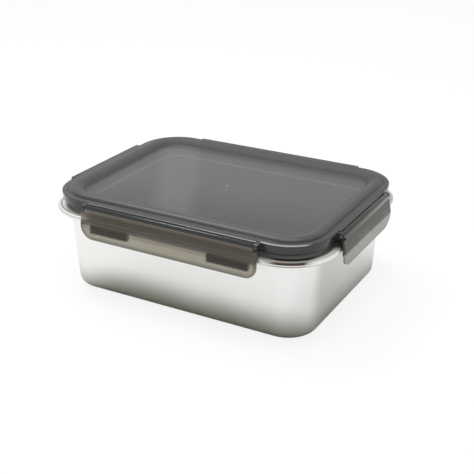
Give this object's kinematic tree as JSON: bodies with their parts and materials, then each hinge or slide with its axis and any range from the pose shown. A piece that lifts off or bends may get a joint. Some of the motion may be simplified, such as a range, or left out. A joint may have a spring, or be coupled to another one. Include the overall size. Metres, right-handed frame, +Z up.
{
  "type": "lunch box",
  "caption": "Rounded rectangular steel lunch box with a stepped mouth and rolled rim, closed by a sealed translucent lid with a hinged latch on each side.",
  "frame": {"origin": "centre of the tub's base, on the surface it stands on", "axes": "+X along the long side, +Y from the front latch to the back latch, +Z up"},
  "size_m": [0.2128, 0.1628, 0.0725],
  "materials": {
    "tub_steel": "satin drawn stainless steel",
    "lid_plastic": "glossy smoky translucent plastic",
    "seal_silicone": "matt translucent silicone",
    "latch_plastic": "glossy smoky translucent plastic",
    "pin_steel": "drawn stainless wire"
  },
  "bodies": {
    "box": {"steel_tub": "tub_steel"},
    "lid": {"lid_shell": "lid_plastic", "seal_ring": "seal_silicone", "hinge_pin_front": "pin_steel", "hinge_pin_back": "pin_steel", "hinge_pin_left": "pin_steel", "hinge_pin_right": "pin_steel"},
    "latch_front_body": {"latch_front": "latch_plastic"},
    "latch_back_body": {"latch_back": "latch_plastic"},
    "latch_left_body": {"latch_left": "latch_plastic"},
    "latch_right_body": {"latch_right": "latch_plastic"}
  },
  "joints": [
    {"name": "lid_lift", "type": "slide", "parent": "box", "child": "lid", "axis": [0, 0, 1], "range_m": [0, 0.018]},
    {"name": "latch_front_hinge", "type": "hinge", "parent": "lid", "child": "latch_front_body", "pos_m": [0, -0.0776, 0.0676], "axis": [-1, 0, 0], "range_deg": [0, 135]},
    {"name": "latch_back_hinge", "type": "hinge", "parent": "lid", "child": "latch_back_body", "pos_m": [0, 0.0776, 0.0676], "axis": [1, 0, 0], "range_deg": [0, 135]},
    {"name": "latch_left_hinge", "type": "hinge", "parent": "lid", "child": "latch_left_body", "pos_m": [-0.1026, 0, 0.0676], "axis": [0, 1, 0], "range_deg": [0, 135]},
    {"name": "latch_right_hinge", "type": "hinge", "parent": "lid", "child": "latch_right_body", "pos_m": [0.1026, 0, 0.0676], "axis": [0, -1, 0], "range_deg": [0, 135]}
  ],
  "couplings": [
    {"joint": "latch_front_hinge", "follows": "lid_lift", "rad_per_m": 130.89},
    {"joint": "latch_back_hinge", "follows": "lid_lift", "rad_per_m": 130.89},
    {"joint": "latch_left_hinge", "follows": "lid_lift", "rad_per_m": 130.89},
    {"joint": "latch_right_hinge", "follows": "lid_lift", "rad_per_m": 130.89}
  ]
}
